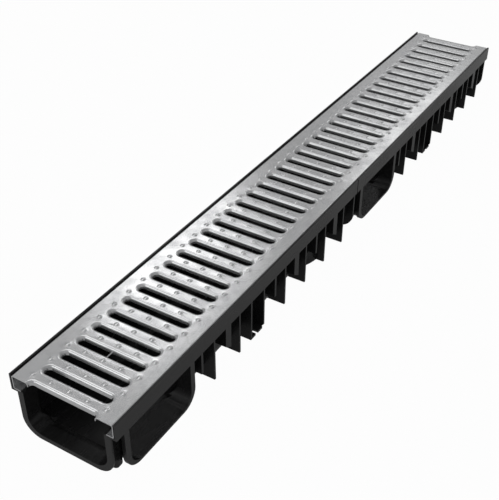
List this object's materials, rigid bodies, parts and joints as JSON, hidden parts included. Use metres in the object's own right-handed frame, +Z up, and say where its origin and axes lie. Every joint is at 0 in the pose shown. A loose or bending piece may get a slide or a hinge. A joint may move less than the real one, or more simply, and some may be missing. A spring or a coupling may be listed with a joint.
{
  "type": "channel drain",
  "caption": "Long slotted channel drain: black moulded channels end to end with ribbed sides and side branches, under one pressed galvanised grate.",
  "frame": {"origin": "middle of the underside, at the joint between the two channels", "axes": "+Y along the drain away from the collar end, +Z up towards the grate, +X towards the open side branches"},
  "size_m": [0.13, 1, 0.075],
  "materials": {
    "black_plastic": "moulded, matt black, faintly satin on the outer faces",
    "galvanised_steel": "hot-dip galvanised sheet, satin with soft cloudy reflections"
  },
  "bodies": {
    "root": {"front_channel": "black_plastic", "rear_channel": "black_plastic", "grate": "galvanised_steel"}
  },
  "joints": []
}
